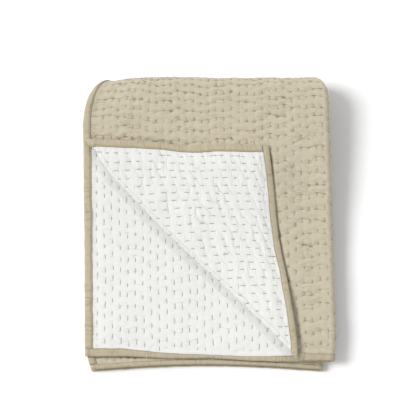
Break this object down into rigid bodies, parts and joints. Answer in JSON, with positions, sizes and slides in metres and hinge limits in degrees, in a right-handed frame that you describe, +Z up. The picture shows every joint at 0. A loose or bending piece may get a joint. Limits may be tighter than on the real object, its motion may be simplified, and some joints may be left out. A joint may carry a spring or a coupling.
{
  "type": "folded kantha quilt",
  "caption": "Bound kantha quilt folded in quarters, linen-coloured face out, one top corner turned back to show the white backing.",
  "frame": {"origin": "centre of the folded pile's box, on the surface that it rests on", "axes": "+X across the pile towards its side fold, +Y from the bound front edges to the back fold, +Z up"},
  "size_m": [0.4666, 0.5594, 0.0786],
  "materials": {
    "linen_cloth": "matt woven cotton, linen coloured, puckered by hand running stitch in matching thread",
    "white_cloth": "matt white woven cotton with running stitch in linen-coloured thread",
    "linen_binding": "matt plain-weave cotton strip, linen coloured, topstitched"
  },
  "bodies": {
    "root": {"face_cloth": "linen_cloth", "backing_cloth": "white_cloth", "binding_front_edge": "linen_binding", "binding_rear_edge": "linen_binding", "binding_left_edge": "linen_binding", "binding_right_edge": "linen_binding"}
  },
  "joints": []
}
